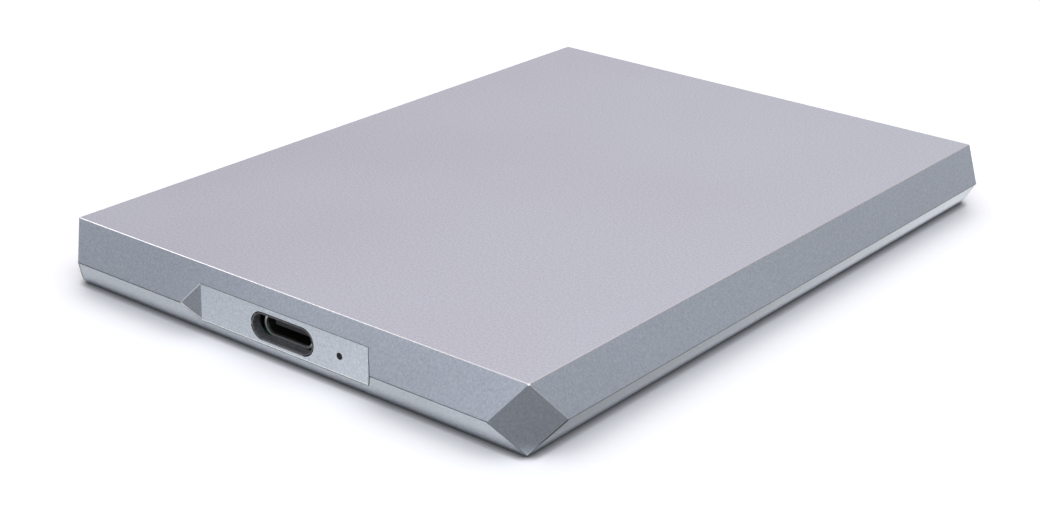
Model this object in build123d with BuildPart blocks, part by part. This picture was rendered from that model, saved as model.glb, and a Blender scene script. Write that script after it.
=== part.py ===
from build123d import *
from math import atan, cos, degrees, radians, sin
import os

import numpy

# Portable hard drive: a faceted aluminium case round a slim 2.5 inch disk unit and a small
# bridge board with one USB-C socket. Millimetres, +Z up, origin at the middle of the underside.
# X runs along the short side, Y along the long side, and the port panel faces -Y.
# The sizes build up from the discs outwards: disc, arms, casting, frame, case.

os.makedirs("parts", exist_ok=True)

# Discs and spindle
disc_diameter = 65.0
disc_bore = 20.0
disc_thickness = 0.635
hub_play = 0.05
hub_flange_reach = 2.0
hub_flange_thickness = 0.7
hub_plate = 1.4
hub_skirt = 0.85
clamp_thickness = 0.3
clamp_lip = 1.2
clamp_seat_drop = 0.23
clamp_rim_inset = 0.3
clamp_holes = 3
clamp_hole_radius = 0.8
clamp_hole_reach = 6.2
clamp_screw_head = 0.35
clamp_screw_head_radius = 1.9
clamp_screw_radius = 0.8
shaft_radius = 1.25
shaft_play = 0.05
sleeve_wall = 1.9
rotor_magnet_wall = 1.1
rotor_magnet_rise = 0.1
rotor_gap = 0.25
stator_poles = 9
stator_height = 1.0
pole_width = 0.9
pole_tip = 0.55
winding_rise = 0.4
winding_clearance = 0.3
motor_boss_height = 0.7
motor_boss_wall = 1.1

# Arms and heads
arm_floor_gap = 0.27
end_arm_thickness = 0.4
middle_arm_thickness = 0.54
suspension_thickness = 0.1
slider_height = 0.23
slider_length = 1.25
slider_width = 1.0
fly_gap = 0.1
arm_lid_gap = 0.4
arm_reach = 18.5
arm_root_radius = 5.2
arm_tip_radius = 2.2
head_reach = 30.7
tab_reach = 1.6
pivot_drop = 42.0
pivot_offset = 19.5
pivot_housing_radius = 5.6
pivot_bore = 8.0
pivot_post_radius = 1.9
pivot_play = 0.05
parked_angle = 68.0
actuator_swing = 38.5
suspension_half_width = 1.8
tab_half_width = 0.25
tab_clearance = 0.12
ramp_back = 1.0
ramp_lean = 0.7
ramp_half_angle = 2.7
ramp_disc_gap = 0.35
ramp_lid_gap = 0.05
ramp_wall_gap = 0.1

# Voice coil motor
coil_angle = 162.0
coil_inner_radius = 8.0
coil_outer_radius = 15.3
coil_half_angle = 17.0
coil_width = 2.4
coil_height = 1.2
fork_angle = 4.0
magnet_gap = 0.385
magnet_height = 0.75
yoke_thickness = 0.7
yoke_inner_radius = 6.2
yoke_outer_radius = 16.0
yoke_half_angle = 48.0
yoke_gap = 0.55
yoke_post_radius = 0.7
yoke_post_inset_angle = 2.0
crash_stop_wall = 0.4

# Disk unit casting and lid
casting_floor = 1.6
casting_wall = 1.6
well_gap = 0.825
connector_wall = 6.875
side_block = 4.3
disk_corner_radius = 1.6
lid_thickness = 0.4
lid_raise = 0.5
lid_rim = 4.9
gasket_thickness = 0.2
gasket_inset = 0.3
gasket_width = 0.8
lid_screw_inset = 3.4
lid_screw_head = 0.45
screw_head_radius = 1.35
screw_recess_radius = 0.56
screw_radius = 0.8
lid_screw_length = 3.0
deck_height = 3.2
deck_reach = 31.0
deck_depth = 23.8
mount_hole_radius = 1.25
mount_hole_depth = 2.6
mount_hole_spacing = 61.72
mount_hole_first = 14.0
mount_hole_second = 90.6
breather_radius = 4.5
breather_thickness = 0.8
breather_offset = 9.5
air_filter_length = 7.0
air_filter_width = 1.8
air_filter_corner = 0.4
air_filter_angle = 40.0
air_filter_wall_distance = 3.6
air_filter_deck_distance = 5.6
air_filter_clearance = 0.2
bracket_length = 12.0
bracket_width = 8.0
bracket_height = 1.6
bracket_corner = 1.0
bracket_chamfer = 0.3
bracket_margin = 2.0
flex_thickness = 0.12
flex_width = 1.3
flex_lift = 0.2
flex_rise = 1.5
flex_run = 3.5
flex_drop = 2.2
flex_bend = 1.4
flex_end_angle = 197.0
flex_end_gap = 0.55

# Disk unit board and connector
disk_board_width = 55.2
disk_board_depth = 31.6
disk_board_thickness = 0.8
disk_board_lift = 0.15
board_air = 0.05
pocket_play = 0.3
chip_pocket_height = 2.4
controller_side = 12.0
motor_chip_side = 8.0
memory_length = 7.0
memory_width = 5.0
chip_height = 0.9
chip_spacing = 1.5
chip_margin = 0.5
sata_offset = -6.0
sata_width = 43.0
sata_depth = 6.0
sata_shroud_wall = 1.2
sata_shroud_depth = 4.8
sata_opening_height = 2.7
tongue_thickness = 1.2
tongue_length = 4.2
tongue_margin = 1.2
signal_tongue = 10.4
power_tongue = 24.6
blade_pitch = 1.27
blade_width = 0.7
blade_thickness = 0.08
signal_blades = 7
power_blades = 15

# Bridge board and port
port_height = 5.05
port_offset = 1.0
usb_width = 8.94
usb_height = 3.26
usb_wall = 0.3
usb_length = 6.9
usb_back = 1.2
usb_setback = 0.55
usb_tongue_thickness = 0.7
usb_tongue_width = 6.69
usb_tongue_setback = 0.9
usb_pins = 12
usb_pin_pitch = 0.5
bridge_thickness = 0.8
bridge_front_gap = 1.05
bridge_rear_gap = 0.4
bridge_side = 24.0
bridge_room = 11.3
receptacle_height = 2.4
receptacle_floor = 0.45
receptacle_play = 0.1
receptacle_inset = 1.4
receptacle_entry = 4.1
led_offset = 10.2
led_height = 5.04
led_hole_radius = 0.5
led_length = 1.6
led_width = 0.8
led_body_height = 0.6
led_setback = 0.9
pipe_play = 0.05
bridge_chip_side = 6.0
flash_length = 5.0
flash_width = 4.0
inductor_side = 3.0
crystal_length = 2.5
crystal_width = 2.0
capacitors = 4
capacitor_length = 1.0
capacitor_width = 0.6
capacitor_pitch = 1.3
part_spacing = 2.0
inductor_height = 1.2
small_part_height = 0.6

# Case
top_wall = 1.0
bottom_wall = 0.9
side_wall = 1.2
panel_wall = 0.8
bottom_pad_height = 0.6
top_pad_height = 0.5
tape_thickness = 0.1
waist_height = 5.15
top_inset = 3.5
bottom_inset = 3.85
panel_width = 30.2
panel_depth = 1.95
seam_gap = 0.12
edge_radius = 0.25
seam_chamfer = 0.1
opening_width = 11.2
opening_height = 3.9
opening_edge = 0.1
bezel_play = 0.05
bezel_wall = 0.2
bezel_ear = 1.9
bezel_flange = 0.6
bumper_side = 2.77
bumper_end = 0.8
bumper_leg = 12.0
frame_wall = 1.6
frame_gap = 0.3
frame_rib_height = 0.9

# Levels, from the underside of the case upwards
disk_low = bottom_wall + bottom_pad_height
floor_top = disk_low + casting_floor
head_stack = suspension_thickness + slider_height + fly_gap
lower_arm_low = floor_top + arm_floor_gap
lower_arm_high = lower_arm_low + end_arm_thickness
lower_disc_low = lower_arm_high + head_stack
lower_disc_high = lower_disc_low + disc_thickness
middle_arm_low = lower_disc_high + head_stack
middle_arm_high = middle_arm_low + middle_arm_thickness
upper_disc_low = middle_arm_high + head_stack
upper_disc_high = upper_disc_low + disc_thickness
upper_arm_low = upper_disc_high + head_stack
upper_arm_high = upper_arm_low + end_arm_thickness
lid_low = upper_arm_high + arm_lid_gap
disk_high = lid_low + lid_thickness
flange_low = lid_low - lid_raise
flange_high = flange_low + lid_thickness
casting_high = flange_low - gasket_thickness
case_height = disk_high + top_pad_height + top_wall
frame_low = bottom_wall + tape_thickness
frame_high = case_height - top_wall - tape_thickness

# Plan of the disk unit, built up from the discs
disc_radius = disc_diameter / 2
well_radius = disc_radius + well_gap
disk_width = 2 * (well_radius + casting_wall)
disk_length = casting_wall + well_radius + pivot_drop + yoke_outer_radius + yoke_gap + connector_wall

# Plan of the case, built up from the disk unit
frame_foot_inset = bottom_inset * (waist_height - frame_low) / waist_height
frame_half_width = disk_width / 2 + bumper_side + frame_wall
case_width = 2 * (frame_half_width + frame_gap + side_wall + frame_foot_inset)
rear_room = bumper_end + frame_wall + frame_gap + side_wall + frame_foot_inset
port_room = panel_depth + panel_wall + bridge_room
case_length = disk_length + rear_room + port_room
half_width = case_width / 2
half_length = case_length / 2
disk_front = port_room - half_length
disk_rear = disk_front + disk_length
disk_middle = (disk_front + disk_rear) / 2
disc_y = disk_rear - casting_wall - well_radius
pivot_x = pivot_offset
pivot_y = disc_y - pivot_drop
frame_half_length = half_length - frame_foot_inset - side_wall - frame_gap
frame_inner_width = frame_half_width - frame_wall
frame_inner_length = frame_half_length - frame_wall
panel_y = panel_depth - half_length
panel_inner_y = panel_y + panel_wall
pivot_centre = (pivot_x, pivot_y)


# Case form: flat facets above and below the waist, a diamond at each corner, a notch for the port

upper_slope = degrees(atan(top_inset / (case_height - waist_height)))
lower_slope = degrees(atan(bottom_inset / waist_height))
corner_leg = 2 * top_inset
panel_left = port_offset - panel_width / 2
panel_right = port_offset + panel_width / 2


def case_plan(inset):
    """The case seen from above at its waist, all sides moved inwards by inset."""
    corners = [
        (corner_leg - half_width, -half_length),
        (panel_left - panel_depth, -half_length),
        (panel_left, panel_y),
        (panel_right, panel_y),
        (panel_right + panel_depth, -half_length),
        (half_width - corner_leg, -half_length),
        (half_width, corner_leg - half_length),
        (half_width, half_length - corner_leg),
        (half_width - corner_leg, half_length),
        (corner_leg - half_width, half_length),
        (-half_width, half_length - corner_leg),
        (-half_width, corner_leg - half_length),
    ]
    with BuildSketch() as plan:
        with BuildLine():
            Polyline(*corners, close=True)
        make_face()
        if inset:
            offset(amount=-inset, kind=Kind.INTERSECTION)
    return plan.sketch


def case_slab(side_inset, plan_inset, low, high):
    """The case form between two levels, its facets moved inwards by side_inset."""
    with BuildPart() as slab:
        with BuildSketch(Plane.XY.offset(waist_height)):
            Rectangle(case_width - 2 * side_inset, case_length - 2 * side_inset)
        extrude(amount=high - waist_height, taper=upper_slope)
        with BuildSketch(Plane.XY.offset(waist_height)):
            Rectangle(case_width - 2 * side_inset, case_length - 2 * side_inset)
        extrude(amount=low - waist_height, taper=lower_slope)
        with BuildSketch(Plane.XY):
            add(case_plan(plan_inset))
        extrude(amount=case_height, mode=Mode.INTERSECT)
    return slab.part


def case_face(x, y, z, through):
    """A face of the case as its outward direction and its distance from the origin."""
    outward = Vector(x, y, z).normalized()
    return outward, outward.dot(Vector(*through))


upper_rise = case_height - waist_height
upper_x = case_face(upper_rise, 0, top_inset, (half_width, 0, waist_height))
upper_y = case_face(0, upper_rise, top_inset, (0, half_length, waist_height))
lower_x = case_face(waist_height, 0, -bottom_inset, (half_width, 0, waist_height))
lower_y = case_face(0, waist_height, -bottom_inset, (0, half_length, waist_height))
diamond = case_face(1, 1, 0, (half_width, half_length - corner_leg, 0))
front_upper = case_face(0, -upper_rise, top_inset, (0, -half_length, waist_height))
front_lower = case_face(0, -waist_height, -bottom_inset, (0, -half_length, waist_height))
panel = case_face(0, -1, 0, (0, panel_y, 0))
left_cheek = case_face(1, -1, 0, (panel_left, panel_y, 0))
right_cheek = case_face(-1, -1, 0, (panel_right, panel_y, 0))


def meet(faces, insets):
    """The point where three faces of the case meet, each moved inwards by its own inset."""
    directions = [tuple(face[0]) for face in faces]
    distances = [face[1] - inset for face, inset in zip(faces, insets)]
    return tuple(float(value) for value in numpy.linalg.solve(directions, distances))


def skirt(depth, spread):
    """The walls of the top cover that reach below the waist, mitred against the lower facets:
    the corner diamonds, the port panel and its two cheeks."""
    def corner_points(wall, upper, lower):
        return [
            meet([wall, upper, lower], [depth * step, depth * step - spread, depth * step - spread])
            for step in (0, 1)
        ]

    def edge_points(wall, beside, facet):
        return [
            meet([wall, beside, facet], [depth * step, depth * step, depth * step - spread])
            for step in (0, 1)
        ]

    with BuildPart() as wedge:
        ConvexPolyhedron(
            corner_points(diamond, upper_x, upper_y)
            + corner_points(diamond, lower_x, lower_y)
            + corner_points(diamond, upper_x, lower_x)
            + corner_points(diamond, upper_y, lower_y)
        )
        mirror(about=Plane.YZ)
        mirror(about=Plane.XZ)
    with BuildPart() as walls:
        add(wedge.part)
        ConvexPolyhedron(
            edge_points(panel, left_cheek, front_upper)
            + edge_points(panel, left_cheek, front_lower)
            + edge_points(panel, right_cheek, front_upper)
            + edge_points(panel, right_cheek, front_lower)
        )
        for cheek in (left_cheek, right_cheek):
            ConvexPolyhedron(
                corner_points(cheek, front_upper, front_lower)
                + edge_points(cheek, panel, front_upper)
                + edge_points(cheek, panel, front_lower)
            )
    return walls.part


def is_rounded(edge):
    """All edges of the case form are rounded, except its waist and the inner corners of the notch."""
    middle = edge.center()
    beside_panel = abs(middle.X - port_offset) > panel_width / 2 - edge_radius
    in_notch_corner = beside_panel and abs(middle.Y - panel_y) < edge_radius
    return abs(middle.Z - waist_height) > edge_radius / 100 and not in_notch_corner


with BuildPart() as case_form:
    add(case_slab(0, 0, 0, case_height))
    fillet(case_form.edges().filter_by(is_rounded), radius=edge_radius)

case_cavity = case_slab(side_wall, panel_wall, bottom_wall, case_height - top_wall)
cover_skirt = skirt(panel_wall, 0)
skirt_clearance = skirt(panel_wall + seam_gap, seam_gap)


# Top cover: top face, upper facets, corner diamonds and port panel with its two openings

with BuildPart() as top_cover:
    with BuildSketch(Plane.XY.offset(waist_height + seam_gap / 2)):
        Rectangle(case_width, case_length)
    extrude(amount=case_height)
    add(cover_skirt)
    add(case_form.part, mode=Mode.INTERSECT)
    add(case_cavity, mode=Mode.SUBTRACT)
    with BuildSketch(Plane.XZ.offset(-panel_y)):
        with Locations((port_offset, port_height)):
            SlotOverall(opening_width, opening_height)
        with Locations((port_offset + led_offset, led_height)):
            Circle(led_hole_radius)
    extrude(amount=-2 * panel_wall, mode=Mode.SUBTRACT)
    port_rim = top_cover.edges().filter_by(
        lambda edge: abs(edge.center().Y - panel_y) < opening_edge / 2
        and abs(edge.center().X - port_offset) < opening_width / 2 + opening_edge
        and abs(edge.center().Z - port_height) < opening_height / 2 + opening_edge
    )
    chamfer(port_rim, length=opening_edge)
top_cover.part.label = "top_cover"
export_step(top_cover.part, "parts/top_cover.step")


# Bottom cover: tray with the lower facets, notched round the diamonds and the port panel

def is_seam_edge(edge):
    """The sharp outer edges of the tray's rim, along the seam."""
    middle = edge.center()
    outermost = max(abs(middle.X) - half_width, abs(middle.Y) - half_length) > -seam_gap
    return abs(middle.Z - waist_height) < seam_gap and outermost


with BuildPart() as bottom_cover:
    with BuildSketch(Plane.XY.offset(waist_height - seam_gap / 2)):
        Rectangle(case_width, case_length)
    extrude(amount=-case_height)
    add(case_form.part, mode=Mode.INTERSECT)
    add(case_cavity, mode=Mode.SUBTRACT)
    add(skirt_clearance, mode=Mode.SUBTRACT)
    chamfer(bottom_cover.edges().filter_by(is_seam_edge), length=seam_chamfer)
bottom_cover.part.label = "bottom_cover"
export_step(bottom_cover.part, "parts/bottom_cover.step")


# Port bezel: black liner of the port opening, its ears glued behind the panel

bezel_outer_height = opening_height - 2 * bezel_play
bezel_inner_height = bezel_outer_height - 2 * bezel_wall
bezel_inner_width = opening_width - 2 * bezel_play - 2 * bezel_wall
with BuildPart() as port_bezel:
    with BuildSketch(Plane.XZ.offset(-panel_inner_y - bezel_flange)):
        with Locations((port_offset, port_height)):
            RectangleRounded(opening_width + 2 * bezel_ear, bezel_outer_height, bezel_wall)
    extrude(amount=bezel_flange)
    with BuildSketch(Plane.XZ.offset(-panel_inner_y)):
        with Locations((port_offset, port_height)):
            SlotOverall(opening_width - 2 * bezel_play, bezel_outer_height)
    extrude(amount=panel_wall - bezel_play)
    with BuildSketch(Plane.XZ.offset(-panel_y)):
        with Locations((port_offset, port_height)):
            SlotOverall(bezel_inner_width, bezel_inner_height)
    extrude(amount=-2 * (panel_wall + bezel_flange), mode=Mode.SUBTRACT)
port_bezel.part.label = "port_bezel"
export_step(port_bezel.part, "parts/port_bezel.step")


# USB-C socket: drawn steel shell, moulded tongue with its back block, and contact rows

socket_front = panel_inner_y + usb_setback
socket_back = socket_front + usb_length
bridge_top = port_height - usb_height / 2
bridge_low = bridge_top - bridge_thickness
with BuildPart() as usb_shell:
    with BuildSketch(Plane.XZ.offset(-socket_front)):
        with Locations((port_offset, port_height)):
            SlotOverall(usb_width, usb_height)
            SlotOverall(usb_width - 2 * usb_wall, usb_height - 2 * usb_wall, mode=Mode.SUBTRACT)
    extrude(amount=-usb_length)
usb_shell.part.label = "usb_shell"
export_step(usb_shell.part, "parts/usb_shell.step")

with BuildPart() as usb_tongue:
    with BuildSketch(Plane.XZ.offset(-socket_back)):
        with Locations((port_offset, port_height)):
            SlotOverall(usb_width - 2 * usb_wall, usb_height - 2 * usb_wall)
    extrude(amount=usb_back)
    with BuildSketch(Plane.XZ.offset(-socket_back + usb_back)):
        with Locations((port_offset, port_height)):
            Rectangle(usb_tongue_width, usb_tongue_thickness)
    extrude(amount=usb_length - usb_back - usb_tongue_setback)
usb_tongue.part.label = "usb_tongue"
export_step(usb_tongue.part, "parts/usb_tongue.step")

usb_pin_length = usb_length - usb_back - 2 * usb_tongue_setback
with BuildPart() as usb_contacts:
    with Locations(Plane.XY.offset(port_height)):
        with GridLocations(usb_pin_pitch, usb_tongue_thickness + blade_thickness, usb_pins, 2) as pins:
            pin_places = [
                (port_offset + place.position.X, socket_back - usb_back - usb_pin_length / 2,
                 port_height + place.position.Y)
                for place in pins.local_locations
            ]
    with Locations(*pin_places):
        Box(usb_pin_pitch / 2, usb_pin_length, blade_thickness)
usb_contacts.part.label = "usb_contacts"
export_step(usb_contacts.part, "parts/usb_contacts.step")


# Bridge board: carries the socket at its front edge and the disk receptacle at its rear edge

bridge_front = panel_inner_y + bridge_front_gap
bridge_rear = disk_front - bridge_rear_gap
receptacle_width = sata_width - 2 * receptacle_inset
bridge_left = sata_offset - receptacle_width / 2 - receptacle_inset / 2
bridge_screw_y = bridge_front + 2 * screw_head_radius
bridge_screws = [
    (bridge_left + 2 * screw_head_radius, bridge_screw_y),
    (bridge_side - 2 * screw_head_radius, bridge_screw_y),
]
with BuildPart() as bridge_board:
    with BuildSketch(Plane.XY.offset(bridge_low)):
        with BuildLine():
            Polyline(
                (bridge_left, bridge_front), (bridge_side, bridge_front),
                (bridge_side, bridge_rear), (bridge_left, bridge_rear), close=True,
            )
        make_face()
        with Locations(*bridge_screws):
            Circle(screw_radius + pipe_play, mode=Mode.SUBTRACT)
    extrude(amount=bridge_thickness)
bridge_board.part.label = "bridge_board"
export_step(bridge_board.part, "parts/bridge_board.step")


def chip(x, y, z, width, depth, height):
    """A chip package with bevelled top edges, standing on a board face at z."""
    with BuildPart() as package:
        with BuildSketch(Plane.XY.offset(z)):
            with Locations((x, y)):
                Rectangle(width, depth)
        extrude(amount=height)
        chamfer(package.edges().group_by(Axis.Z)[-1], length=height / 6)
    return package.part


part_row = (bridge_front + socket_back) / 2
bridge_chip_x = port_offset - usb_width / 2 - part_spacing - bridge_chip_side / 2
with BuildPart() as bridge_chip:
    add(chip(bridge_chip_x, part_row, bridge_top, bridge_chip_side, bridge_chip_side, chip_height))
bridge_chip.part.label = "bridge_chip"
export_step(bridge_chip.part, "parts/bridge_chip.step")

led_x = port_offset + led_offset
led_y = bridge_front + led_setback
with BuildPart() as status_led:
    add(chip(led_x, led_y, bridge_top, led_length, led_width, led_body_height))
status_led.part.label = "status_led"
export_step(status_led.part, "parts/status_led.step")

flash_x = led_x + led_length / 2 + part_spacing + flash_length / 2
with BuildPart() as flash_chip:
    add(chip(flash_x, part_row, bridge_top, flash_length, flash_width, chip_height))
flash_chip.part.label = "flash_chip"
export_step(flash_chip.part, "parts/flash_chip.step")

inductor_x = bridge_chip_x - bridge_chip_side / 2 - part_spacing - inductor_side / 2
capacitor_x = inductor_x - inductor_side / 2 - part_spacing - capacitor_length / 2
crystal_x = port_offset + usb_width / 2 + part_spacing + crystal_length / 2
with BuildPart() as board_parts:
    add(chip(inductor_x, part_row, bridge_top, inductor_side, inductor_side, inductor_height))
    add(chip(crystal_x, part_row, bridge_top, crystal_length, crystal_width, small_part_height))
    for step in range(capacitors):
        capacitor_y = part_row + capacitor_pitch * (step - (capacitors - 1) / 2)
        add(chip(capacitor_x, capacitor_y, bridge_top, capacitor_length, capacitor_width, small_part_height))
board_parts.part.label = "board_parts"
export_step(board_parts.part, "parts/board_parts.step")

pipe_radius = led_hole_radius - pipe_play
pipe_foot_low = bridge_top + led_body_height + pipe_play
with BuildPart() as light_pipe:
    with BuildSketch(Plane.XZ.offset(-led_y)):
        with Locations((led_x, led_height)):
            Circle(pipe_radius)
    extrude(amount=led_y - panel_y - pipe_play)
    with BuildSketch(Plane.XY.offset(pipe_foot_low)):
        with Locations((led_x, led_y)):
            Rectangle(led_length, led_width + 4 * pipe_play)
    extrude(amount=led_height + 2 * pipe_radius - pipe_foot_low)
light_pipe.part.label = "light_pipe"
export_step(light_pipe.part, "parts/light_pipe.step")

with BuildPart() as board_screws:
    with BuildSketch(Plane.XY.offset(bridge_top)):
        with Locations(*bridge_screws):
            Circle(screw_head_radius)
            RegularPolygon(screw_recess_radius, 6, mode=Mode.SUBTRACT)
    extrude(amount=lid_screw_head)
    with BuildSketch(Plane.XY.offset(frame_low + tape_thickness)):
        with Locations(*bridge_screws):
            Circle(screw_radius)
    extrude(amount=bridge_top - frame_low - tape_thickness)
board_screws.part.label = "board_screws"
export_step(board_screws.part, "parts/board_screws.step")


# Connector between bridge board and disk unit: receptacle on the board, plug in the disk unit

receptacle_back = disk_front + receptacle_entry
slot_low = bridge_top + receptacle_floor
tongue_low = slot_low + receptacle_play
tongue_high = tongue_low + tongue_thickness
slot_high = tongue_high + 2 * receptacle_play
tongue_root = disk_front + sata_shroud_depth
tongue_tip = tongue_root - tongue_length
slot_front = tongue_tip - receptacle_inset
receptacle_front = socket_back + bridge_rear_gap
with BuildPart() as sata_receptacle:
    with BuildSketch(Plane.XZ.offset(-receptacle_back)):
        with Locations((sata_offset, bridge_top + receptacle_height / 2)):
            Rectangle(receptacle_width, receptacle_height)
    extrude(amount=receptacle_back - receptacle_front)
    with BuildSketch(Plane.XZ.offset(-receptacle_back)):
        with Locations((sata_offset, (slot_low + slot_high) / 2)):
            Rectangle(receptacle_width - receptacle_inset, slot_high - slot_low)
    extrude(amount=receptacle_back - slot_front, mode=Mode.SUBTRACT)
sata_receptacle.part.label = "sata_receptacle"
export_step(sata_receptacle.part, "parts/sata_receptacle.step")

signal_x = sata_offset - sata_width / 2 + sata_shroud_wall + tongue_margin + signal_tongue / 2
power_x = sata_offset + sata_width / 2 - sata_shroud_wall - tongue_margin - power_tongue / 2
plug_low = disk_low + disk_board_lift + disk_board_thickness
plug_opening_low = (tongue_low + tongue_high) / 2 - sata_opening_height / 2
plug_opening_high = plug_opening_low + sata_opening_height
plug_high = plug_opening_high + disk_corner_radius / 4
with BuildPart() as sata_plug:
    with BuildSketch(Plane.XZ.offset(-disk_front - sata_depth)):
        with Locations((sata_offset, (plug_low + plug_high) / 2)):
            Rectangle(sata_width, plug_high - plug_low)
    extrude(amount=sata_depth)
    with BuildSketch(Plane.XZ.offset(-tongue_root)):
        with Locations((sata_offset, (plug_opening_low + plug_opening_high) / 2)):
            Rectangle(sata_width - 2 * sata_shroud_wall, sata_opening_height)
    extrude(amount=sata_shroud_depth, mode=Mode.SUBTRACT)
    with BuildSketch(Plane.XZ.offset(-tongue_root)):
        with Locations((signal_x, (tongue_low + tongue_high) / 2)):
            Rectangle(signal_tongue, tongue_thickness)
        with Locations((power_x, (tongue_low + tongue_high) / 2)):
            Rectangle(power_tongue, tongue_thickness)
    extrude(amount=tongue_length)
sata_plug.part.label = "sata_plug"
export_step(sata_plug.part, "parts/sata_plug.step")

blade_length = tongue_length - tongue_thickness
blade_places = [
    (signal_x + blade_pitch * (step - (signal_blades - 1) / 2),
     tongue_root - blade_length / 2, tongue_high + blade_thickness / 2)
    for step in range(signal_blades)
] + [
    (power_x + blade_pitch * (step - (power_blades - 1) / 2),
     tongue_root - blade_length / 2, tongue_high + blade_thickness / 2)
    for step in range(power_blades)
]
with BuildPart() as sata_blades:
    with Locations(*blade_places):
        Box(blade_width, blade_length, blade_thickness)
sata_blades.part.label = "sata_blades"
export_step(sata_blades.part, "parts/sata_blades.step")

spring_middle = (slot_front + receptacle_back) / 2
with BuildPart() as sata_springs:
    with Locations(*[(x, spring_middle, slot_high - blade_thickness / 2) for x, y, z in blade_places]):
        Box(blade_width, receptacle_back - slot_front - receptacle_inset, blade_thickness)
sata_springs.part.label = "sata_springs"
export_step(sata_springs.part, "parts/sata_springs.step")


# Disk unit casting: disc well, actuator bay, motor boss, raised deck, board pocket, connector bay

half_disk = disk_width / 2
well_side = half_disk - casting_wall
bay_front = disk_front + connector_wall
bay_side = well_side - side_block
deck_top = disk_low + deck_height
sleeve_radius = shaft_radius + shaft_play + sleeve_wall
sleeve_low = disk_low + casting_floor / 2
board_pocket_top = disk_low + disk_board_lift + disk_board_thickness + board_air
chip_pocket_top = disk_low + chip_pocket_height
deck_left = -bay_side
deck_right = deck_left + deck_reach
deck_rear = bay_front + deck_depth
board_rear = disk_front + disk_board_depth
board_screw_x = disk_board_width / 2 - 2 * screw_head_radius
board_screw_y = deck_rear - casting_wall - 2 * screw_head_radius
board_screw_places = [
    (board_screw_x, disk_front + 2 * screw_head_radius),
    (-board_screw_x, board_screw_y),
    (deck_right - casting_wall - 2 * screw_head_radius, board_screw_y),
]
lid_screw_x = half_disk - lid_screw_inset
lid_screw_places = [
    (side * lid_screw_x, y)
    for side in (-1, 1)
    for y in (disk_front + lid_screw_inset, deck_rear - 2 * side_block, disk_rear - lid_screw_inset)
]
mount_hole_places = [
    (side * mount_hole_spacing / 2, disk_front + y)
    for side in (-1, 1)
    for y in (mount_hole_first, mount_hole_second)
]


def ring_sector(inner, outer, middle, half_angle):
    """Part of a flat ring round the pivot, centred on the direction middle."""
    with BuildSketch() as sector:
        with BuildLine():
            far = CenterArc(pivot_centre, outer, middle - half_angle, 2 * half_angle)
            near = CenterArc(pivot_centre, inner, middle - half_angle, 2 * half_angle)
            Line(near @ 0, far @ 0)
            Line(near @ 1, far @ 1)
        make_face()
    return sector.sketch


def from_pivot(distance, angle, aside=0.0):
    """A point at a distance from the pivot, moved aside to the left of that direction."""
    turn = radians(angle)
    return (
        pivot_x + distance * cos(turn) - aside * sin(turn),
        pivot_y + distance * sin(turn) + aside * cos(turn),
    )


ramp_inner = head_reach + slider_length / 2
ramp_outer = head_reach + tab_reach + ramp_back
ramp_direction = parked_angle + ramp_lean


def disk_interior(grow):
    """Plan of the space inside the disk unit: round disc well, head side and actuator bay."""
    wide_low = deck_rear - side_block / 2
    wide_high = disc_y - casting_wall * 4.4
    with BuildSketch() as interior:
        with Locations((0, disc_y)):
            Circle(well_radius + grow)
        with BuildLine():
            Polyline(
                (-bay_side - grow, bay_front - grow), (bay_side + grow, bay_front - grow),
                (bay_side + grow, wide_low - grow), (well_side + grow, wide_low - grow),
                (well_side + grow, wide_high + grow), (0, wide_high + grow),
                (0, disc_y - well_radius * 0.7 + grow),
                (-bay_side - grow, disc_y - well_radius * 0.7 + grow), close=True,
            )
        make_face()
        add(ring_sector(ramp_inner, ramp_outer + ramp_wall_gap + grow, ramp_direction, ramp_half_angle))
    return interior.sketch


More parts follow.
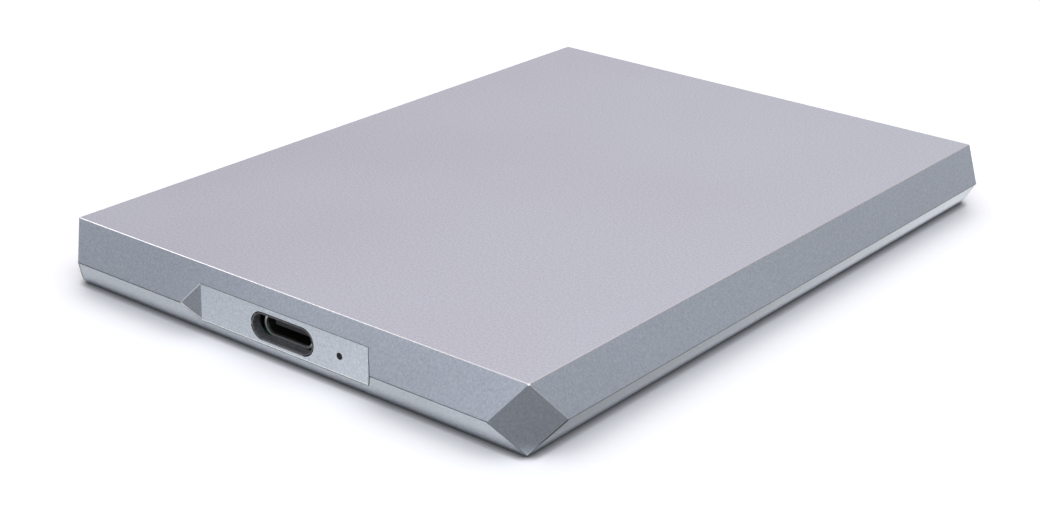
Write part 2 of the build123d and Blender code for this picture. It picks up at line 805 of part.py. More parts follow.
with BuildPart() as disk_base:
    with BuildSketch(Plane.XY.offset(disk_low)):
        with Locations((0, disk_middle)):
            RectangleRounded(disk_width, disk_length, disk_corner_radius)
    extrude(amount=casting_high - disk_low)
    with BuildSketch(Plane.XY.offset(floor_top)):
        add(disk_interior(0))
    extrude(amount=casting_high - floor_top, mode=Mode.SUBTRACT)
    with BuildSketch(Plane.XY.offset(floor_top)):
        with Locations((0, disc_y)):
            Circle(sleeve_radius + motor_boss_wall)
    extrude(amount=motor_boss_height)
    with BuildSketch(Plane.XY.offset(sleeve_low)):
        with Locations((0, disc_y)):
            Circle(sleeve_radius)
    extrude(amount=casting_floor + motor_boss_height, mode=Mode.SUBTRACT)
    with BuildSketch(Plane.XY.offset(floor_top)):
        with BuildLine():
            Polyline(
                (deck_left, bay_front), (deck_right, bay_front),
                (deck_right, deck_rear), (deck_left, deck_rear), close=True,
            )
        make_face()
    extrude(amount=deck_top - floor_top)
    with BuildSketch(Plane.XY.offset(disk_low)):
        with Locations((0, disk_front)):
            Rectangle(
                disk_board_width + 2 * pocket_play,
                2 * (disk_board_depth + pocket_play),
            )
    extrude(amount=board_pocket_top - disk_low, mode=Mode.SUBTRACT)
    with BuildSketch(Plane.XY.offset(board_pocket_top)):
        with BuildLine():
            Polyline(
                (deck_left + casting_wall, bay_front + casting_wall),
                (deck_right - casting_wall, bay_front + casting_wall),
                (deck_right - casting_wall, deck_rear - casting_wall),
                (deck_left + casting_wall, deck_rear - casting_wall), close=True,
            )
        make_face()
        with Locations(*board_screw_places):
            Circle(screw_radius + motor_boss_wall, mode=Mode.SUBTRACT)
    extrude(amount=chip_pocket_top - board_pocket_top, mode=Mode.SUBTRACT)
    with BuildSketch(Plane.XZ.offset(-disk_front)):
        with Locations((sata_offset, (disk_low + plug_high + board_air) / 2)):
            Rectangle(sata_width + 2 * board_air, plug_high + board_air - disk_low)
    extrude(amount=-sata_depth - board_air, mode=Mode.SUBTRACT)
    with BuildSketch(Plane.XY.offset(casting_high)):
        with Locations(*lid_screw_places):
            Circle(screw_radius)
    extrude(amount=-lid_screw_length, mode=Mode.SUBTRACT)
    with BuildSketch(Plane.XY.offset(board_pocket_top - board_air)):
        with Locations(*board_screw_places):
            Circle(screw_radius)
    extrude(amount=chip_pocket_top - board_pocket_top, mode=Mode.SUBTRACT)
    with BuildSketch(Plane.XY.offset(disk_low)):
        with Locations(*mount_hole_places):
            Circle(mount_hole_radius)
    extrude(amount=mount_hole_depth, mode=Mode.SUBTRACT)
disk_base.part.label = "disk_base"
export_step(disk_base.part, "parts/disk_base.step")


# Disk unit lid: stamped sheet, its middle raised above the screw rim, on a thin gasket

with BuildPart() as disk_lid:
    with BuildSketch(Plane.XY.offset(flange_low)):
        with Locations((0, disk_middle)):
            RectangleRounded(disk_width, disk_length, disk_corner_radius)
    extrude(amount=lid_thickness)
    with BuildSketch(Plane.XY.offset(flange_high)):
        with Locations((0, disk_middle)):
            RectangleRounded(disk_width - 2 * lid_rim, disk_length - 2 * lid_rim, lid_rim)
    extrude(amount=disk_high - flange_high)
    with BuildSketch(Plane.XY.offset(flange_low)):
        with Locations((0, disk_middle)):
            RectangleRounded(
                disk_width - 2 * lid_rim - 2 * lid_thickness,
                disk_length - 2 * lid_rim - 2 * lid_thickness,
                lid_rim - lid_thickness,
            )
    extrude(amount=lid_raise, mode=Mode.SUBTRACT)
    with BuildSketch(Plane.XY.offset(flange_low)):
        with Locations(*lid_screw_places):
            Circle(screw_radius + pipe_play)
    extrude(amount=lid_thickness, mode=Mode.SUBTRACT)
disk_lid.part.label = "disk_lid"
export_step(disk_lid.part, "parts/disk_lid.step")

gasket_inner_inset = gasket_inset + gasket_width
with BuildPart() as lid_gasket:
    with BuildSketch(Plane.XY.offset(casting_high)):
        with Locations((0, disk_middle)):
            RectangleRounded(
                disk_width - 2 * gasket_inset, disk_length - 2 * gasket_inset, disk_corner_radius
            )
            RectangleRounded(
                disk_width - 2 * gasket_inner_inset, disk_length - 2 * gasket_inner_inset,
                disk_corner_radius - gasket_width, mode=Mode.SUBTRACT,
            )
    extrude(amount=gasket_thickness)
lid_gasket.part.label = "lid_gasket"
export_step(lid_gasket.part, "parts/lid_gasket.step")

with BuildPart() as lid_screws:
    with BuildSketch(Plane.XY.offset(flange_high)):
        with Locations(*lid_screw_places):
            Circle(screw_head_radius)
            RegularPolygon(screw_recess_radius, 6, mode=Mode.SUBTRACT)
    extrude(amount=lid_screw_head)
    with BuildSketch(Plane.XY.offset(casting_high - lid_screw_length)):
        with Locations(*lid_screw_places):
            Circle(screw_radius)
    extrude(amount=flange_high - casting_high + lid_screw_length)
lid_screws.part.label = "lid_screws"
export_step(lid_screws.part, "parts/lid_screws.step")

with BuildPart() as breather_filter:
    with BuildSketch(Plane.XY.offset(lid_low)):
        with Locations((deck_left + breather_offset, (bay_front + deck_rear) / 2)):
            Circle(breather_radius)
    extrude(amount=-breather_thickness)
breather_filter.part.label = "breather_filter"
export_step(breather_filter.part, "parts/breather_filter.step")


# Disk unit board: under the casting, chips facing up into the pocket

disk_board_low = disk_low + disk_board_lift
with BuildPart() as disk_board:
    with BuildSketch(Plane.XY.offset(disk_board_low)):
        with BuildLine():
            Polyline(
                (-disk_board_width / 2, disk_front), (disk_board_width / 2, disk_front),
                (disk_board_width / 2, board_rear), (-disk_board_width / 2, board_rear), close=True,
            )
        make_face()
        with Locations(*board_screw_places):
            Circle(screw_radius + pipe_play, mode=Mode.SUBTRACT)
    extrude(amount=disk_board_thickness)
disk_board.part.label = "disk_board"
export_step(disk_board.part, "parts/disk_board.step")

chip_left = deck_left + casting_wall + pocket_play + chip_margin
chip_front = bay_front + casting_wall + pocket_play + chip_margin
with BuildPart() as disk_board_chips:
    add(
        chip(
            chip_left + controller_side / 2, chip_front + controller_side / 2, plug_low,
            controller_side, controller_side, chip_height,
        )
    )
    add(
        chip(
            chip_left + controller_side + chip_spacing + motor_chip_side / 2,
            chip_front + motor_chip_side / 2, plug_low,
            motor_chip_side, motor_chip_side, chip_height,
        )
    )
    add(
        chip(
            chip_left + controller_side, chip_front + controller_side + chip_spacing + memory_width / 2,
            plug_low, memory_length, memory_width, chip_height,
        )
    )
disk_board_chips.part.label = "disk_board_chips"
export_step(disk_board_chips.part, "parts/disk_board_chips.step")

with BuildPart() as disk_board_screws:
    with BuildSketch(Plane.XY.offset(disk_board_low)):
        with Locations(*board_screw_places):
            Circle(screw_head_radius)
    extrude(amount=-disk_board_lift + board_air)
    with BuildSketch(Plane.XY.offset(disk_board_low)):
        with Locations(*board_screw_places):
            Circle(screw_radius)
    extrude(amount=chip_pocket_top - disk_board_low - 2 * board_air)
disk_board_screws.part.label = "disk_board_screws"
export_step(disk_board_screws.part, "parts/disk_board_screws.step")


# Spindle motor: fixed sleeve and stator

hub_top = upper_disc_high + clamp_seat_drop
cup_top = hub_top - hub_plate
flange_bottom = lower_disc_low - hub_flange_thickness
hub_radius = disc_bore / 2 - hub_play
cup_radius = hub_radius - hub_skirt
stator_low = floor_top + motor_boss_height
stator_radius = cup_radius - rotor_magnet_wall - rotor_gap
boss_radius = sleeve_radius + motor_boss_wall
with BuildPart() as bearing_sleeve:
    with BuildSketch(Plane.XY.offset(sleeve_low)):
        with Locations((0, disc_y)):
            Circle(sleeve_radius)
            Circle(shaft_radius + shaft_play, mode=Mode.SUBTRACT)
    extrude(amount=cup_top - 3 * shaft_play - sleeve_low)
bearing_sleeve.part.label = "bearing_sleeve"
export_step(bearing_sleeve.part, "parts/bearing_sleeve.step")

with BuildPart() as stator_core:
    with BuildSketch(Plane.XY.offset(stator_low)):
        with Locations((0, disc_y)):
            Circle(stator_radius)
            Circle(stator_radius - pole_tip, mode=Mode.SUBTRACT)
            with PolarLocations(stator_radius, stator_poles, start_angle=180 / stator_poles):
                Rectangle(3 * pole_tip, pole_width, mode=Mode.SUBTRACT)
            Circle(boss_radius)
            with PolarLocations((stator_radius + sleeve_radius) / 2, stator_poles):
                Rectangle(stator_radius - sleeve_radius - pole_tip, pole_width)
            Circle(sleeve_radius, mode=Mode.SUBTRACT)
    extrude(amount=stator_height)
stator_core.part.label = "stator_core"
export_step(stator_core.part, "parts/stator_core.step")

coil_room = stator_radius - pole_tip - boss_radius
with BuildPart() as stator_coils:
    with BuildSketch(Plane.XY.offset(stator_low - winding_rise)):
        with Locations((0, disc_y)):
            with PolarLocations(boss_radius + coil_room / 2, stator_poles):
                Rectangle(coil_room - 2 * winding_clearance, 2 * pole_width)
    extrude(amount=stator_height + 2 * winding_rise)
    add(stator_core.part, mode=Mode.SUBTRACT)
stator_coils.part.label = "stator_coils"
export_step(stator_coils.part, "parts/stator_coils.step")


# Rotor: hub, shaft, magnet ring, two discs with their spacer, clamp and screw

spindle_section = Plane(origin=(0, disc_y, 0), x_dir=(1, 0, 0), z_dir=(0, -1, 0))
with BuildPart() as spindle_hub:
    with BuildSketch(spindle_section):
        with BuildLine():
            Polyline(
                (shaft_radius, cup_top), (shaft_radius, hub_top), (hub_radius, hub_top),
                (hub_radius, lower_disc_low), (hub_radius + hub_flange_reach, lower_disc_low),
                (hub_radius + hub_flange_reach, flange_bottom), (cup_radius, flange_bottom),
                (cup_radius, cup_top), close=True,
            )
        make_face()
    revolve(axis=Axis((0, disc_y, 0), (0, 0, 1)))
spindle_hub.part.label = "spindle_hub"
export_step(spindle_hub.part, "parts/spindle_hub.step")

clamp_top = hub_top + clamp_thickness
clamp_screw_low = hub_top - hub_plate + winding_rise
with BuildPart() as spindle_shaft:
    with BuildSketch(Plane.XY.offset(sleeve_low + 3 * shaft_play)):
        with Locations((0, disc_y)):
            Circle(shaft_radius)
    extrude(amount=hub_top - sleeve_low - 3 * shaft_play)
    with BuildSketch(Plane.XY.offset(hub_top)):
        with Locations((0, disc_y)):
            Circle(clamp_screw_radius)
    extrude(amount=clamp_screw_low - hub_top, mode=Mode.SUBTRACT)
spindle_shaft.part.label = "spindle_shaft"
export_step(spindle_shaft.part, "parts/spindle_shaft.step")


def spindle_ring(outer, inner, low, high):
    """A plain ring round the spindle axis between two levels."""
    with BuildPart() as ring:
        with BuildSketch(Plane.XY.offset(low)):
            with Locations((0, disc_y)):
                Circle(outer)
                Circle(inner, mode=Mode.SUBTRACT)
        extrude(amount=high - low)
    return ring.part


with BuildPart() as rotor_magnet:
    add(spindle_ring(cup_radius, cup_radius - rotor_magnet_wall, flange_bottom + rotor_magnet_rise, cup_top))
rotor_magnet.part.label = "rotor_magnet"
export_step(rotor_magnet.part, "parts/rotor_magnet.step")

with BuildPart() as lower_disc:
    add(spindle_ring(disc_radius, disc_bore / 2, lower_disc_low, lower_disc_high))
lower_disc.part.label = "lower_disc"
export_step(lower_disc.part, "parts/lower_disc.step")

with BuildPart() as disc_spacer:
    add(spindle_ring(hub_radius + hub_flange_reach, disc_bore / 2, lower_disc_high, upper_disc_low))
disc_spacer.part.label = "disc_spacer"
export_step(disc_spacer.part, "parts/disc_spacer.step")

with BuildPart() as upper_disc:
    add(spindle_ring(disc_radius, disc_bore / 2, upper_disc_low, upper_disc_high))
upper_disc.part.label = "upper_disc"
export_step(upper_disc.part, "parts/upper_disc.step")

clamp_radius = hub_radius + hub_flange_reach - clamp_rim_inset
with BuildPart() as disc_clamp:
    with BuildSketch(spindle_section):
        with BuildLine():
            Polyline(
                (clamp_screw_radius + hub_play, hub_top), (clamp_screw_radius + hub_play, clamp_top),
                (clamp_radius, clamp_top), (clamp_radius, upper_disc_high),
                (clamp_radius - clamp_lip, upper_disc_high), (clamp_radius - clamp_lip, hub_top),
                close=True,
            )
        make_face()
    revolve(axis=Axis((0, disc_y, 0), (0, 0, 1)))
    with BuildSketch(Plane.XY.offset(hub_top)):
        with Locations((0, disc_y)):
            with PolarLocations(clamp_hole_reach, clamp_holes):
                Circle(clamp_hole_radius)
    extrude(amount=clamp_thickness, mode=Mode.SUBTRACT)
disc_clamp.part.label = "disc_clamp"
export_step(disc_clamp.part, "parts/disc_clamp.step")

with BuildPart() as clamp_screw:
    with BuildSketch(Plane.XY.offset(clamp_top)):
        with Locations((0, disc_y)):
            Circle(clamp_screw_head_radius)
            RegularPolygon(clamp_screw_radius, 6, mode=Mode.SUBTRACT)
    extrude(amount=clamp_screw_head)
    with BuildSketch(Plane.XY.offset(clamp_screw_low)):
        with Locations((0, disc_y)):
            Circle(clamp_screw_radius)
    extrude(amount=clamp_top - clamp_screw_low)
clamp_screw.part.label = "clamp_screw"
export_step(clamp_screw.part, "parts/clamp_screw.step")


# Actuator: arms on a turning cartridge, coil in its fork, suspensions with their sliders

coil_direction = parked_angle + coil_angle
coil_middle = (middle_arm_low + middle_arm_high) / 2
coil_low = coil_middle - coil_height / 2
coil_high = coil_middle + coil_height / 2

with BuildPart() as pivot_post:
    with BuildSketch(Plane.XY.offset(floor_top)):
        with Locations(pivot_centre):
            Circle(pivot_post_radius)
    extrude(amount=lid_low - pivot_play - floor_top)
pivot_post.part.label = "pivot_post"
export_step(pivot_post.part, "parts/pivot_post.step")

with BuildPart() as pivot_sleeve:
    with BuildSketch(Plane.XY.offset(lower_arm_low)):
        with Locations(pivot_centre):
            Circle(pivot_bore / 2)
            Circle(pivot_post_radius + pivot_play, mode=Mode.SUBTRACT)
    extrude(amount=upper_arm_high - lower_arm_low)
pivot_sleeve.part.label = "pivot_sleeve"
export_step(pivot_sleeve.part, "parts/pivot_sleeve.step")

with BuildPart() as actuator_block:
    with BuildSketch(Plane.XY.offset(lower_arm_low)):
        with Locations(pivot_centre):
            Circle(pivot_housing_radius)
    extrude(amount=upper_arm_high - lower_arm_low)
    for low, high in (
        (lower_arm_low, lower_arm_high),
        (middle_arm_low, middle_arm_high),
        (upper_arm_low, upper_arm_high),
    ):
        with BuildSketch(Plane.XY.offset(low)):
            with BuildSketch(mode=Mode.PRIVATE) as arm_ends:
                with Locations(pivot_centre):
                    Circle(arm_root_radius)
                with Locations(from_pivot(arm_reach, parked_angle)):
                    Circle(arm_tip_radius)
            make_hull(arm_ends.sketch.edges())
            with Locations(Location((*from_pivot(arm_reach * 0.62, parked_angle), 0), (0, 0, parked_angle))):
                SlotOverall(arm_reach * 0.34, arm_tip_radius, mode=Mode.SUBTRACT)
        extrude(amount=high - low)
    with BuildSketch(Plane.XY.offset(coil_low)):
        for side in (-1, 1):
            add(
                ring_sector(
                    arm_root_radius, coil_outer_radius,
                    coil_direction + side * (coil_half_angle + fork_angle / 2), fork_angle / 2,
                )
            )
    extrude(amount=coil_height)
    with BuildSketch(Plane.XY.offset(lower_arm_low)):
        with Locations(pivot_centre):
            Circle(pivot_bore / 2)
    extrude(amount=upper_arm_high - lower_arm_low, mode=Mode.SUBTRACT)
actuator_block.part.label = "actuator_block"
export_step(actuator_block.part, "parts/actuator_block.step")

coil_width_angle = degrees(coil_width / ((coil_inner_radius + coil_outer_radius) / 2))
with BuildPart() as voice_coil:
    with BuildSketch(Plane.XY.offset(coil_low)):
        add(ring_sector(coil_inner_radius, coil_outer_radius, coil_direction, coil_half_angle))
        add(
            ring_sector(
                coil_inner_radius + coil_width, coil_outer_radius - coil_width,
                coil_direction, coil_half_angle - coil_width_angle,
            ),
            mode=Mode.SUBTRACT,
        )
    extrude(amount=coil_height)
voice_coil.part.label = "voice_coil"
export_step(voice_coil.part, "parts/voice_coil.step")

head_levels = [
    (lower_arm_high, 1),
    (middle_arm_low, -1),
    (middle_arm_high, 1),
    (upper_arm_low, -1),
]
with BuildPart() as head_suspensions:
    for level, facing in head_levels:
        with BuildSketch(Plane.XY.offset(level)):
            with BuildLine():
                Polyline(
                    from_pivot(arm_reach - 1.5 * arm_tip_radius, parked_angle, -suspension_half_width),
                    from_pivot(arm_reach + arm_tip_radius, parked_angle, -suspension_half_width),
                    from_pivot(head_reach, parked_angle, -slider_width / 2),
                    from_pivot(head_reach + slider_length / 2, parked_angle, -tab_half_width),
                    from_pivot(head_reach + tab_reach, parked_angle, -tab_half_width),
                    from_pivot(head_reach + tab_reach, parked_angle, tab_half_width),
                    from_pivot(head_reach + slider_length / 2, parked_angle, tab_half_width),
                    from_pivot(head_reach, parked_angle, slider_width / 2),
                    from_pivot(arm_reach + arm_tip_radius, parked_angle, suspension_half_width),
                    from_pivot(arm_reach - 1.5 * arm_tip_radius, parked_angle, suspension_half_width),
                    close=True,
                )
            make_face()
        extrude(amount=facing * suspension_thickness)
head_suspensions.part.label = "head_suspensions"
export_step(head_suspensions.part, "parts/head_suspensions.step")

with BuildPart() as head_sliders:
    for level, facing in head_levels:
        with BuildSketch(Plane.XY.offset(level + facing * suspension_thickness)):
            with Locations(Location((*from_pivot(head_reach - slider_length / 2, parked_angle), 0),
                                    (0, 0, parked_angle))):
                Rectangle(slider_length, slider_width)
        extrude(amount=facing * slider_height)
head_sliders.part.label = "head_sliders"
export_step(head_sliders.part, "parts/head_sliders.step")


# Voice coil motor: two steel yokes on posts, magnets facing the coil, rubber stops

yoke_direction = coil_direction + actuator_swing / 2
upper_yoke_low = coil_high + magnet_gap + magnet_height
lower_yoke_top = coil_low - magnet_gap - magnet_height
post_radius_at = yoke_outer_radius - yoke_post_radius - crash_stop_wall / 2
post_angle = yoke_half_angle - yoke_post_inset_angle
post_places = [from_pivot(post_radius_at, yoke_direction + side * post_angle) for side in (-1, 1)]
with BuildPart() as lower_yoke:
    with BuildSketch(Plane.XY.offset(floor_top)):
        add(ring_sector(yoke_inner_radius, yoke_outer_radius, yoke_direction, yoke_half_angle))
    extrude(amount=lower_yoke_top - floor_top)
lower_yoke.part.label = "lower_yoke"
export_step(lower_yoke.part, "parts/lower_yoke.step")

with BuildPart() as upper_yoke:
    with BuildSketch(Plane.XY.offset(upper_yoke_low)):
        add(ring_sector(yoke_inner_radius, yoke_outer_radius, yoke_direction, yoke_half_angle))
    extrude(amount=yoke_thickness)
upper_yoke.part.label = "upper_yoke"
export_step(upper_yoke.part, "parts/upper_yoke.step")

with BuildPart() as voice_magnets:
    for low in (lower_yoke_top, upper_yoke_low - magnet_height):
        with BuildSketch(Plane.XY.offset(low)):
            add(
                ring_sector(
                    coil_inner_radius, coil_outer_radius - yoke_gap,
                    yoke_direction, yoke_half_angle - 2 * fork_angle,
                )
            )
        extrude(amount=magnet_height)
voice_magnets.part.label = "voice_magnets"
export_step(voice_magnets.part, "parts/voice_magnets.step")

with BuildPart() as yoke_posts:
    with BuildSketch(Plane.XY.offset(lower_yoke_top)):
        with Locations(*post_places):
            Circle(yoke_post_radius)
    extrude(amount=upper_yoke_low - lower_yoke_top)
yoke_posts.part.label = "yoke_posts"
export_step(yoke_posts.part, "parts/yoke_posts.step")

with BuildPart() as crash_stops:
    with BuildSketch(Plane.XY.offset(coil_low)):
        with Locations(*post_places):
            Circle(yoke_post_radius + crash_stop_wall)
            Circle(yoke_post_radius, mode=Mode.SUBTRACT)
    extrude(amount=coil_height)
crash_stops.part.label = "crash_stops"
export_step(crash_stops.part, "parts/crash_stops.step")


# Load ramp: the lift tabs rest in its slots, clear of the discs

with BuildPart() as load_ramp:
    with BuildSketch(Plane.XY.offset(floor_top)):
        add(ring_sector(ramp_inner, ramp_outer, ramp_direction, ramp_half_angle))
        with Locations((0, disc_y)):
            Circle(disc_radius + ramp_disc_gap, mode=Mode.SUBTRACT)
    extrude(amount=flange_low - ramp_lid_gap - floor_top)
    for level, facing in head_levels:
        with BuildSketch(Plane.XY.offset(level - facing * tab_clearance)):
            add(
                ring_sector(
                    ramp_inner - tab_clearance, head_reach + tab_reach + 2 * tab_clearance,
                    ramp_direction, 2 * ramp_half_angle,
                )
            )
        extrude(amount=facing * (suspension_thickness + 2 * tab_clearance), mode=Mode.SUBTRACT)
load_ramp.part.label = "load_ramp"
export_step(load_ramp.part, "parts/load_ramp.step")


# Flex bracket on the raised deck, its ribbon and the air filter pad

bracket_x = deck_right - bracket_margin - bracket_length / 2
bracket_y = deck_rear - 2 * bracket_margin - bracket_width / 2
with BuildPart() as flex_bracket:
    with BuildSketch(Plane.XY.offset(deck_top)):
        with Locations((bracket_x, bracket_y)):
            RectangleRounded(bracket_length, bracket_width, bracket_corner)
    extrude(amount=bracket_height)
    chamfer(flex_bracket.edges().group_by(Axis.Z)[-1], length=bracket_chamfer)
flex_bracket.part.label = "flex_bracket"
export_step(flex_bracket.part, "parts/flex_bracket.step")

flex_start_x = bracket_x + bracket_length / 2
flex_start_y = bracket_y + flex_rise
with BuildPart() as flex_cable:
    with BuildSketch(Plane.XY.offset(deck_top + flex_lift)):
        with BuildLine():
            FilletPolyline(
                (flex_start_x, flex_start_y), (flex_start_x + flex_run, flex_start_y),
                (flex_start_x + 1.6 * flex_run, bracket_y - flex_drop),
                from_pivot(pivot_housing_radius + flex_end_gap, flex_end_angle), radius=flex_bend,
            )
        trace(line_width=flex_thickness)
    extrude(amount=flex_width)
flex_cable.part.label = "flex_cable"
export_step(flex_cable.part, "parts/flex_cable.step")

air_filter_place = Location(
    (deck_left + air_filter_wall_distance, deck_rear + air_filter_deck_distance, 0), (0, 0, air_filter_angle)
)
with BuildPart() as air_filter:
    with BuildSketch(Plane.XY.offset(floor_top)):
        with Locations(air_filter_place):
            RectangleRounded(air_filter_length, air_filter_width, air_filter_corner)
    extrude(amount=casting_high - floor_top - air_filter_clearance)
air_filter.part.label = "air_filter"
export_step(air_filter.part, "parts/air_filter.step")


# Carrier frame: moulded ring between the covers, with the board shelf and a rib behind the seam

shelf_front = -frame_half_length
shelf_rear = disk_front - bumper_end - frame_wall / 2
rib_inset = side_wall + frame_gap + bottom_inset * frame_rib_height / 2 / waist_height
with BuildPart() as carrier_frame:
    with BuildSketch(Plane.XY.offset(frame_low)):
        Rectangle(2 * frame_half_width, 2 * frame_half_length)
        Rectangle(2 * frame_inner_width, 2 * frame_inner_length, mode=Mode.SUBTRACT)
    extrude(amount=frame_high - frame_low)
    with BuildSketch(Plane.XY.offset(waist_height - frame_rib_height / 2)):
        add(case_plan(rib_inset))
        Rectangle(2 * frame_half_width, 2 * frame_half_length, mode=Mode.SUBTRACT)
    extrude(amount=frame_rib_height)
    with BuildSketch(Plane.XY.offset(frame_low)):
        for side in (-1, 1):
            with BuildLine():
                Polyline(
                    (side * frame_inner_width, -frame_inner_length),
                    (side * (half_disk - side_block), -frame_inner_length),
                    (side * (half_disk - side_block), disk_front - bumper_end),
                    (side * frame_inner_width, disk_front - bumper_end), close=True,
                )
            make_face()
    extrude(amount=frame_high - frame_low)
    with BuildSketch(Plane.XY.offset(bridge_low)):
        with BuildLine():
            Polyline(
                (bridge_left - pocket_play, -half_length), (bridge_side + pocket_play, -half_length),
                (bridge_side + pocket_play, shelf_rear), (bridge_left - pocket_play, shelf_rear),
                close=True,
            )
        make_face()
    extrude(amount=port_height + usb_height - bridge_low, mode=Mode.SUBTRACT)
    with BuildSketch(Plane.XY.offset(frame_low)):
        with BuildLine():
            Polyline(
                (bridge_left - pocket_play, shelf_front), (bridge_side + pocket_play, shelf_front),
                (bridge_side + pocket_play, shelf_rear), (bridge_left - pocket_play, shelf_rear),
                close=True,
            )
        make_face()
    extrude(amount=bridge_low - frame_low)
    with BuildSketch(Plane.XY.offset(bridge_low)):
        with Locations(*bridge_screws):
            Circle(screw_radius)
    extrude(amount=frame_low + tape_thickness - bridge_low, mode=Mode.SUBTRACT)
carrier_frame.part.label = "carrier_frame"
export_step(carrier_frame.part, "parts/carrier_frame.step")

with BuildPart() as top_tape:
    with BuildSketch(Plane.XY.offset(frame_high)):
        Rectangle(2 * frame_half_width - frame_gap, 2 * frame_half_length - frame_gap)
        Rectangle(2 * frame_inner_width + frame_gap, 2 * frame_inner_length + frame_gap, mode=Mode.SUBTRACT)
    extrude(amount=tape_thickness)
top_tape.part.label = "top_tape"
export_step(top_tape.part, "parts/top_tape.step")

with BuildPart() as bottom_tape:
    with BuildSketch(Plane.XY.offset(bottom_wall)):
        Rectangle(2 * frame_half_width - frame_gap, 2 * frame_half_length - frame_gap)
        Rectangle(2 * frame_inner_width + frame_gap, 2 * frame_inner_length + frame_gap, mode=Mode.SUBTRACT)
    extrude(amount=tape_thickness)
bottom_tape.part.label = "bottom_tape"
export_step(bottom_tape.part, "parts/bottom_tape.step")


# Corner bumpers and foam pads round the disk unit

bumper_low = disk_low + disk_board_lift
with BuildPart() as corner_bumpers:
    with BuildSketch(Plane.XY.offset(bumper_low)):
        for side in (-1, 1):
            for end, away in ((disk_front, -1), (disk_rear, 1)):
                with BuildLine():
                    Polyline(
                        (side * half_disk, end), (side * (half_disk - side_block), end),
                        (side * (half_disk - side_block), end + away * bumper_end),
                        (side * frame_inner_width, end + away * bumper_end),
                        (side * frame_inner_width, end - away * bumper_leg),
                        (side * half_disk, end - away * bumper_leg), close=True,
                    )
                make_face()
    extrude(amount=casting_high - bumper_low)
corner_bumpers.part.label = "corner_bumpers"
export_step(corner_bumpers.part, "parts/corner_bumpers.step")

with BuildPart() as bottom_pad:
    with BuildSketch(Plane.XY.offset(bottom_wall)):
        with Locations((0, disc_y)):
            RectangleRounded(disc_radius * 1.5, disc_radius * 1.5, disk_corner_radius)
    extrude(amount=bottom_pad_height)
bottom_pad.part.label = "bottom_pad"
export_step(bottom_pad.part, "parts/bottom_pad.step")

with BuildPart() as top_pad:
    with BuildSketch(Plane.XY.offset(disk_high)):
        with Locations((0, disk_middle)):
            RectangleRounded(disc_radius * 1.5, disc_radius * 2, disk_corner_radius)
    extrude(amount=top_pad_height)
top_pad.part.label = "top_pad"
export_step(top_pad.part, "parts/top_pad.step")
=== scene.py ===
import bpy
import math
import numpy as np
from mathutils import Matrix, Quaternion, Vector


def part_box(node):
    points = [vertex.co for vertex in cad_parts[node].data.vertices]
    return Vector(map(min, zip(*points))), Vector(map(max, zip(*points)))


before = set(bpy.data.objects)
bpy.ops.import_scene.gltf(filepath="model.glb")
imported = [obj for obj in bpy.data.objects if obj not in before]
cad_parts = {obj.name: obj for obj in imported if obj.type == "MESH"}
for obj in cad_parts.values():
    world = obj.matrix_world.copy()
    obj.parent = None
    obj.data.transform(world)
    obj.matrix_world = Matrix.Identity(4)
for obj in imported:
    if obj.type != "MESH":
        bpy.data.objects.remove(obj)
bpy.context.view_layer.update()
print("frame loaded:", len(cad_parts), "nodes")


# Camera: looks down at the near corner of the drive

cameraSetup = {
    "lens": 68.10,             # mm
    "sensorWidth": 36.0,       # mm
    "azimuth": 37.86,          # degrees, 0 looks along +Y
    "elevation": 22.66,        # degrees above the sheet
    "roll": 1.383,             # degrees
    "distance": 0.30034,       # metres from the aim point
    "aim": (-0.00297, -0.00374, -0.00270),
    "clip": (0.01, 20.0),      # metres
}


def makeCamera(setup):
    azimuth = math.radians(setup["azimuth"])
    elevation = math.radians(setup["elevation"])
    forward = Vector((
        -math.sin(azimuth) * math.cos(elevation),
        math.cos(azimuth) * math.cos(elevation),
        -math.sin(elevation),
    ))
    camera = bpy.data.objects.new("camera", bpy.data.cameras.new("camera"))
    bpy.context.scene.collection.objects.link(camera)
    camera.data.lens = setup["lens"]
    camera.data.sensor_width = setup["sensorWidth"]
    camera.data.clip_start, camera.data.clip_end = setup["clip"]
    camera.rotation_mode = "QUATERNION"
    tilt = Quaternion((0, 0, 1), math.radians(setup["roll"]))
    camera.rotation_quaternion = forward.to_track_quat("-Z", "Y") @ tilt
    camera.location = Vector(setup["aim"]) - forward * setup["distance"]
    bpy.context.scene.camera = camera


makeCamera(cameraSetup)
print("camera placed")


# Small helpers for node trees

def setOrLink(tree, value, socket):
    # an output is linked to the socket, and anything else is set on it
    if isinstance(value, bpy.types.NodeSocket):
        tree.links.new(value, socket)
    else:
        socket.default_value = value


def addNode(tree, kind, **values):
    # a node's properties are set by name, its inputs by socket name with underscores for spaces
    node = tree.nodes.new(kind)
    for key, value in values.items():
        if hasattr(node, key):
            setattr(node, key, value)
        else:
            setOrLink(tree, value, node.inputs[key.replace("_", " ")])
    return node


def newGroup(name, inputs):
    # a shader node group with the given inputs and defaults, and one output named Mask
    tree = bpy.data.node_groups.new(name, "ShaderNodeTree")
    for label, default in inputs.items():
        kind = "NodeSocketVector" if isinstance(default, tuple) else "NodeSocketFloat"
        socket = tree.interface.new_socket(name=label, in_out="INPUT", socket_type=kind)
        socket.default_value = default
    tree.interface.new_socket(name="Mask", in_out="OUTPUT", socket_type="NodeSocketFloat")
    source, sink = tree.nodes.new("NodeGroupInput"), tree.nodes.new("NodeGroupOutput")
    return tree, source.outputs, sink.inputs["Mask"]


def useGroup(tree, group, **values):
    node = addNode(tree, "ShaderNodeGroup", node_tree=group)
    for key, value in values.items():
        node.inputs[key].default_value = value
    return node.outputs["Mask"]


